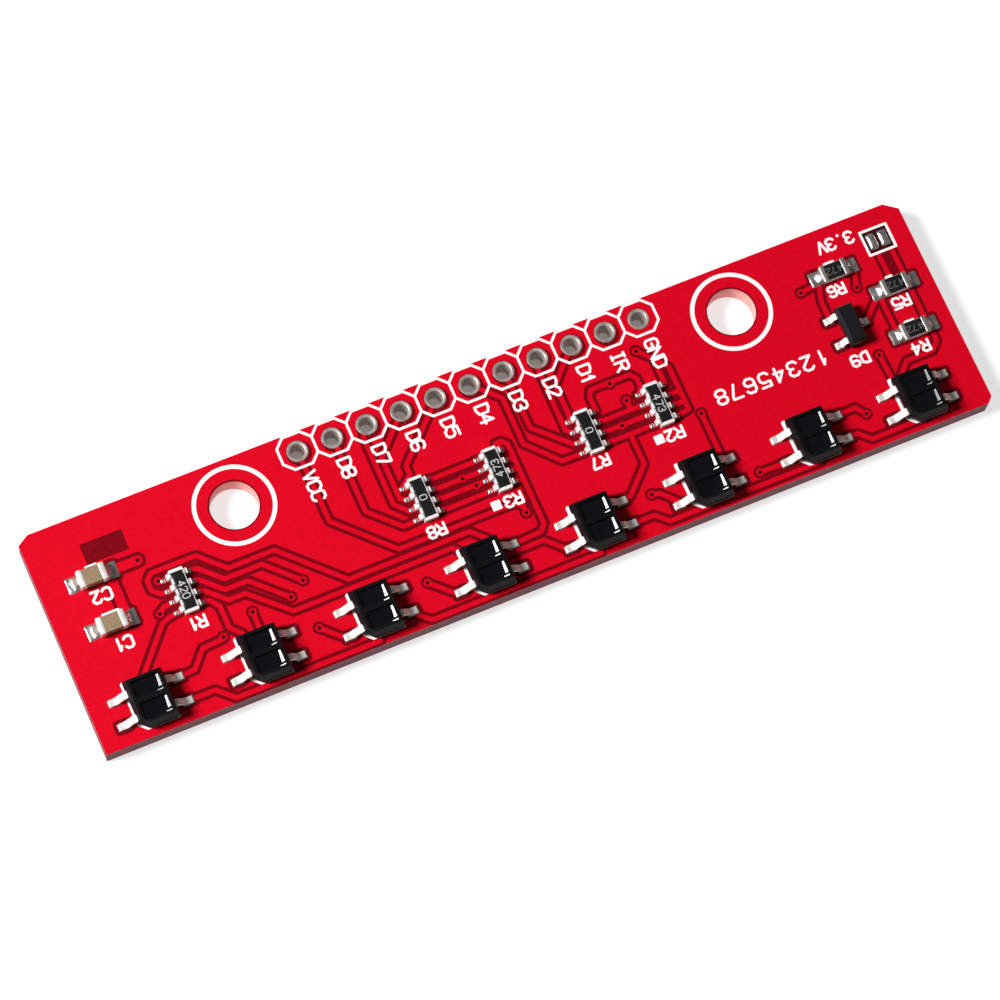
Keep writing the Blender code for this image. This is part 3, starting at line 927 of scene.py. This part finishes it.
def housing_mesh():
    """The moulded body, with its two windows and the openings for the leads cut out."""
    soft = 0.06
    shape = bmesh.new()
    rings = []
    for width, length, corner, z in HOUSING_LEVELS:
        rings.append((offset_outline(cut_corner(width, length, corner, soft), soft), z))
    add_loft(shape, rings)
    body = new_object("housing", finished_mesh("housing", shape, [HOUSING]))
    cutter = bmesh.new()
    for side in (-1, 1):
        width, length = [size - 2 * WINDOW_SOFT for size in WINDOW]
        core = rectangle(0.0, side * WINDOW_Y, width, length)
        levels = []
        for grow, z in ((0.0, 0.35), (0.0, 1.46), (0.02, 1.52), (0.02, 1.7)):
            levels.append((offset_outline(core, WINDOW_SOFT + grow), z))
        add_loft(cutter, levels)
        for end in (-1, 1):
            # From inside the window out through the wall
            place = (end * 1.45, side * SENSOR_PAD_Y, 0.80)
            opening = Matrix.LocRotScale(place, None, (1.1, LEAD_WIDTH + 0.06, 0.20))
            bmesh.ops.create_cube(cutter, size=1.0, matrix=opening)
    helper = new_object("cutter", finished_mesh("cutter", cutter, []))
    cut = body.modifiers.new("windows", "BOOLEAN")
    cut.operation = "DIFFERENCE"
    cut.use_self = True
    cut.object = helper
    bpy.context.view_layer.update()
    evaluated = body.evaluated_get(bpy.context.evaluated_depsgraph_get())
    mesh = bpy.data.meshes.new_from_object(evaluated)
    bpy.data.objects.remove(body)
    bpy.data.objects.remove(helper)
    mesh.shade_smooth()
    mesh.set_sharp_from_angle(angle=math.radians(32))
    return mesh


def add_block(shape, xs, ys, height, floor):
    """A closed block on a grid, with a top surface of height(x, y)."""
    top = [[shape.verts.new((x, y, height(x, y))) for x in xs] for y in ys]
    base = [[shape.verts.new((x, y, floor)) for x in (xs[0], xs[-1])] for y in (ys[0], ys[-1])]
    for row, after in zip(top, top[1:]):
        for i in range(len(xs) - 1):
            shape.faces.new((row[i], row[i + 1], after[i + 1], after[i]))
    (a, b), (d, c) = base
    shape.faces.new((d, c, b, a))
    shape.faces.new((a, b, *reversed(top[0])))
    shape.faces.new((c, d, *top[-1]))
    shape.faces.new((b, c, *[row[-1] for row in reversed(top)]))
    shape.faces.new((d, a, *[row[0] for row in top]))


def smooth_step(value):
    share = min(1.0, max(0.0, value))
    return share * share * (3 - 2 * share)


def resin_height(right, left, near, far):
    """The resin's surface from its distances to the four walls.

    It climbs them, most at the right wall, and reaches furthest from that wall at its near end.
    """
    slope = 0.53
    reach = 0.26 - 0.11 * near / (near + far) + 0.16 * smooth_step((0.26 - near) / 0.11)
    rise = slope * max(0.0, reach - right)
    for gap, climb in ((left, 0.06), (far, 0.05)):
        rise += climb * max(0.0, 1 - gap / 0.14) ** 2
    return min(RESIN_HEIGHT[0] + rise, RESIN_HEIGHT[1])


def even_range(start, end, step):
    count = math.ceil((end - start) / step)
    return [start + (end - start) * i / count for i in range(count + 1)]


def optics_mesh(side):
    """A resin block with its climbing surface, and its two leads."""
    half_x, half_y = WINDOW[0] / 2 + 0.02, WINDOW[1] / 2 + 0.02
    middle_y = side * WINDOW_Y

    def height(x, y):
        return resin_height(half_x - x, half_x + x, y - middle_y + half_y, middle_y + half_y - y)

    shape = bmesh.new()
    # The grid is finer where the resin climbs the right wall
    xs = even_range(-half_x, 0.3, 0.1)[:-1] + even_range(0.3, half_x, 0.026)
    ys = even_range(middle_y - half_y, middle_y + half_y, 0.04)
    add_block(shape, xs, ys, height, 0.40)
    for way in (-1, 1):
        path = [(way * px, pz) for px, pz in rounded_path(LEAD_PATH, 0.26, 6)]
        add_strap(shape, path, LEAD_THICKNESS, side * SENSOR_PAD_Y, LEAD_WIDTH, 1)
    return finished_mesh("optics", shape, [RESIN, TIN], smooth=42)


def make_sensors():
    pieces = (
        ("housing", housing_mesh(), "sensor_housing"),
        ("emitter", optics_mesh(1), "sensor_resin"),
        ("detector", optics_mesh(-1), "sensor_resin"),
    )
    for number, place in enumerate(SENSORS, 1):
        for part, mesh, slot in pieces:
            node = f"sensor_{number}_{part}"
            add_piece(f"{node}_moulded", mesh, slot, (place.x, place.y, TOP), 0.0, [node])


# Chip parts

PART_GAP = 0.02  # solder under a part


def end_cap_mesh(length, width, height, end, metal):
    """A dipped metal end: a closed cap over the end of the block, with a soft lip."""
    shape = bmesh.new()
    soft = 0.09
    half_x = length / 2
    rings = []
    for x, shrink in (
        (half_x - end, 0.045), (half_x - end + 0.03, 0.01), (half_x - end + 0.10, 0.0),
        (half_x - 0.10, 0.0), (half_x - 0.03, 0.03), (half_x, 0.10),
    ):
        inset = 2 * soft + shrink
        core = rectangle(0.0, 0.0, width - inset, height - inset)
        rings.append((offset_outline(core, soft - shrink * 0.3), x))
    add_loft(shape, rings)
    turn = Matrix(((0, 0, 1, 0), (1, 0, 0, 0), (0, 1, 0, height / 2), (0, 0, 0, 1)))
    bmesh.ops.transform(shape, matrix=turn, verts=shape.verts)
    return finished_mesh("end_cap", shape, [metal], smooth=50)


def chip_block_mesh(length, width, height, end, marked):
    """The ceramic block between the ends, under a black overcoat with a faint value if it is marked."""
    shape = bmesh.new()
    soft = 0.03
    core = rectangle(0.0, 0.0, length - 0.2 - 2 * soft, width - 0.08 - 2 * soft)
    levels = []
    for z, share in ((0.03, 0.4), (0.07, 1.0), (height - 0.07, 1.0), (height - 0.03, 0.4)):
        levels.append((offset_outline(core, soft * share), z))
    add_loft(shape, levels)
    materials = [ALUMINA, OVERCOAT, FAINT_MARKING] if marked else [CERAMIC]
    if marked:
        coat = rectangle(0.0, 0.0, length - 2 * end + 0.02, width - 0.16)
        add_mound(shape, coat, 0.03, lambda x, y, rise: 0.035 * min(1.0, 6 * rise), height - 0.04, 1)
        value = text_strokes("472", 0.0, 0.0, 0.52, 180, 0.028, 5.4)
        add_union(shape, value, height + 0.004, height - 0.03, 2)
    return finished_mesh("chip_block", shape, materials, smooth=50)


def make_chips():
    kinds = (
        ("capacitor", CAPACITORS, (2.0, 1.25, 0.80, 0.42), "capacitor_ceramic", False),
        ("resistor", RESISTORS, (2.0, 1.25, 0.50, 0.38), "resistor_coating", True),
    )
    for kind, places, size, slot, marked in kinds:
        block, end = chip_block_mesh(*size, marked), end_cap_mesh(*size, DULL_TIN if marked else TIN)
        for number, place in places.items():
            base = (place.x, place.y, TOP + PART_GAP)
            add_piece(f"{kind}_{number}_body", block, slot, base, 0.0, [f"{kind}_{number}_block"])
            for name, turn in (("right", 0.0), ("left", math.pi)):
                node = f"{kind}_{number}_{name}_end"
                add_piece(f"{node}_cap", end, "tinned_end", base, turn, [node])


def array_mesh(code, turn):
    """A white ceramic body, metal over its eight lugs, a black overcoat and a printed code."""
    shape = bmesh.new()
    height = 0.50
    outline = [(rectangle(0.0, 0.0, 0.90, 3.08), 0.05)]
    for row in ARRAY_ROWS:
        outline.append((rectangle(0.0, row, 1.40, 0.30), 0.04))
    add_union(shape, outline, height - 0.03, 0.02, 0)
    wrap = rounded_path([(0.43, height), (0.57, height), (0.69, height - 0.14), (0.69, 0.04)], 0.1)
    for row in ARRAY_ROWS:
        for side in (-1, 1):
            add_strap(shape, [(side * x, z) for x, z in wrap], 0.08, row, 0.36, 1)
    coat = rectangle(0.04, 0.0, 0.80, 2.80)
    add_mound(shape, coat, 0.04, lambda x, y, rise: 0.045 * min(1.0, 6 * rise), height - 0.045, 2)
    letters = text_strokes(code, 0.03, 0.0, 0.56, turn, 0.035, 5.6)
    add_union(shape, letters, height + 0.008, height - 0.03, 3)
    return finished_mesh("resistor_array", shape, [ALUMINA, TIN, OVERCOAT, MARKING], smooth=50)


ARRAY_CODES = {1: ("420", -90), 2: ("473", -90), 3: ("473", 90), 7: ("0", -90), 8: ("0", -90)}


def make_arrays():
    for number, place in ARRAYS.items():
        node = f"resistor_array_{number}"
        mesh = array_mesh(*ARRAY_CODES[number])
        base = (place.x, place.y, TOP + PART_GAP)
        add_piece(f"{node}_ceramic", mesh, "array_ceramic", base, 0.0, [node])


DIODE_LEAD_PATH = [(0.36, 0.55), (0.82, 0.55), (1.02, 0.09), (1.32, 0.09)]
DIODE_LEAD_TIP = DIODE_LEAD_PATH[-1][0]
DIODE_LEVELS = [  # width, length and height
    (1.18, 2.76, 0.08),
    (1.24, 2.82, 0.12),
    (1.36, 2.94, 0.52),
    (1.36, 2.94, 0.60),
    (1.26, 2.84, 0.84),
    (1.06, 2.66, 1.01),
    (0.98, 2.58, 1.05),
]


def make_diode():
    soft = 0.05
    shape = bmesh.new()
    rings = []
    for width, length, z in DIODE_LEVELS:
        core = rectangle(0.0, 0.0, width - 2 * soft, length - 2 * soft)
        rings.append((offset_outline(core, soft), z))
    add_loft(shape, rings)
    base = (DIODE.x, DIODE.y, TOP)
    mesh = finished_mesh("diode_body", shape, [EPOXY], smooth=30)
    add_piece("diode_9_body_moulded", mesh, "diode_epoxy", base, 0.0, ["diode_9_body"])
    path = rounded_path(DIODE_LEAD_PATH, 0.16)
    for number, (side, offset) in enumerate(DIODE_LEADS, 1):
        shape = bmesh.new()
        add_strap(shape, [(side * x, z) for x, z in path], 0.12, offset, 0.46)
        mesh = finished_mesh("diode_lead", shape, [TIN], smooth=42)
        node = f"diode_9_lead_{number}"
        add_piece(f"{node}_formed", mesh, "tinned_lead", base, 0.0, [node])


# Solder


def toe_fillet(tip, way):
    """Solder round a lead's foot: a low pad that climbs at the tip of the lead."""

    def height(x, y, rise):
        climb = math.exp(-(((x - tip) * way - 0.02) / 0.13) ** 2)
        return 0.025 + (0.035 + 0.10 * climb) * math.sqrt(min(1.0, 2.2 * rise))

    return height


def end_fillet(face, way, y, half, top):
    """Solder that climbs the middle of an end face and runs out thin and uneven over its pad."""

    def height(px, py, rise):
        climb = math.exp(-((max(0.0, (px - face) * way) / 0.27) ** 2))
        across = max(0.0, 1 - ((py - y) / half) ** 2) ** 0.7
        wave = 0.03 * noise.noise(Vector((px * 3.6, py * 3.6, face)))
        return 0.03 + (top * climb * across + 0.04 + wave) * math.sqrt(min(1.0, 2.4 * rise))

    return height


def dome(top):
    return lambda x, y, rise: 0.02 + top * math.sqrt(1 - (1 - rise) ** 2)


def make_solder():
    soft = 0.08
    floor = TOP - 0.03
    shape = bmesh.new()
    for place in SENSORS:
        for side, row in FOUR_WAYS:
            x, y = place.x + side * SENSOR_PAD_X, place.y + row * SENSOR_PAD_Y
            core = rectangle(x, y, SENSOR_PAD[0] - 0.04, SENSOR_PAD[1] - 0.04)
            add_mound(shape, core, soft, toe_fillet(place.x + side * LEAD_TIP, side), floor)
    add_shape("solder_sensors", shape, [SOLDER], "tinned_lead", smooth=60)

    shape = bmesh.new()
    for places, width, top in ((CAPACITORS, 1.15, 0.42), (RESISTORS, 1.05, 0.24)):
        for place in places.values():
            for side in (-1, 1):
                face = place.x + side * 0.99
                core = rectangle(place.x + side * 1.32, place.y, 0.78, width - 2 * soft)
                fillet = end_fillet(face, side, place.y, width / 2, top)
                add_mound(shape, core, soft, fillet, floor, rings=9)
    for place in ARRAYS.values():
        for side in (-1, 1):
            for row in ARRAY_ROWS:
                core = rectangle(place.x + (0.90 if side > 0 else -0.99), place.y + row, 0.16, 0.16)
                add_mound(shape, core, 0.1, dome(0.11), floor)
    for side, offset in DIODE_LEADS:
        core = rectangle(DIODE.x + side * 1.12, DIODE.y + offset, 0.66, 0.42)
        add_mound(shape, core, soft, toe_fillet(DIODE.x + side * DIODE_LEAD_TIP, side), floor)
    add_shape("solder_chips", shape, [SOLDER], "tinned_end", smooth=60)

    shape = bmesh.new()
    for side in (-1, 1):
        core = rectangle(JUMPER[0] + side * 0.43, JUMPER[1], 0.46, 1.0)
        add_mound(shape, core, 0.1, dome(0.20), floor, rings=10)
    add_shape("jumper_lands", shape, [SOLDER], "tinned_end", smooth=60)


# Stage, light and camera


def add_sheet(name, outline, z, color, glow, strength):
    """A flat staged sheet that also glows: the floor so that it looks evenly lit, the painted-shade
    card so that it shows a set grey.
    """
    shape = bmesh.new()
    shape.faces.new([shape.verts.new((x, y, z)) for x, y in outline])
    material, shader = new_material(f"{name}_paint", color, 0.9, specular=0.1)
    shader.inputs["Emission Color"].default_value = (*glow, 1.0)
    shader.inputs["Emission Strength"].default_value = strength
    new_object(name, finished_mesh(name, shape, [material]))
    return material, shader


def make_stage():
    """A pale floor, and a dark glowing card on it under the header row: painted shade, standing in for
    the shadow under the board that the header holes look down on.
    """
    outline = rectangle(0.0, 0.0, FLOOR_SIZE, FLOOR_SIZE)
    material, shader = add_sheet("floor", outline, -0.02, (0.42, 0.42, 0.42), (1.0, 1.0, 1.0), 0.70)
    vary_color(material, shader, add_noise(material, 0.02), (0.41, 0.41, 0.41), (0.43, 0.43, 0.43))
    # The card is painted shade: a dark sheet where the board's own shadow would fall on the floor
    place = (HEADER[0] + HEADER[-1]) / 2
    length = HEADER[-1].x - HEADER[0].x + 2.0
    outline = rectangle(place.x, place.y, length, 2.0)
    add_sheet("shade", outline, -0.01, (0.30, 0.28, 0.27), (1.0, 0.88, 0.84), 0.19)


def make_light():
    world = bpy.data.worlds.new("studio")
    world.use_nodes = True
    background = world.node_tree.nodes["Background"]
    background.inputs["Color"].default_value = (1.0, 1.0, 1.0, 1.0)
    background.inputs["Strength"].default_value = 0.09
    bpy.context.scene.world = world
    lamp = bpy.data.lights.new("key", "AREA")
    lamp.shape = "DISK"
    lamp.size = KEY_SIZE
    lamp.energy = KEY_POWER
    key = new_object("key", lamp)
    way = Vector(KEY_DIRECTION).normalized()
    key.location = way * KEY_DISTANCE * MM
    key.rotation_euler = way.to_track_quat("Z", "Y").to_euler()


def make_camera():
    data = bpy.data.cameras.new("camera")
    data.lens = CAMERA_LENS
    data.clip_start = 0.01
    data.clip_end = 5.0
    camera = new_object("camera", data)
    place, target = Vector(CAMERA_PLACE), Vector(CAMERA_TARGET)
    back = (place - target).normalized()
    right = Vector(CAMERA_UP).cross(back).normalized()
    turn = Matrix((right, back.cross(right), back)).transposed().to_4x4()
    camera.matrix_world = Matrix.Translation(place * MM) @ turn
    bpy.context.scene.camera = camera
    bpy.context.scene.view_settings.view_transform = "Standard"


make_camera()
make_board()
make_printing()
make_header()
make_sensors()
make_chips()
make_arrays()
make_diode()
make_solder()
make_stage()
make_light()
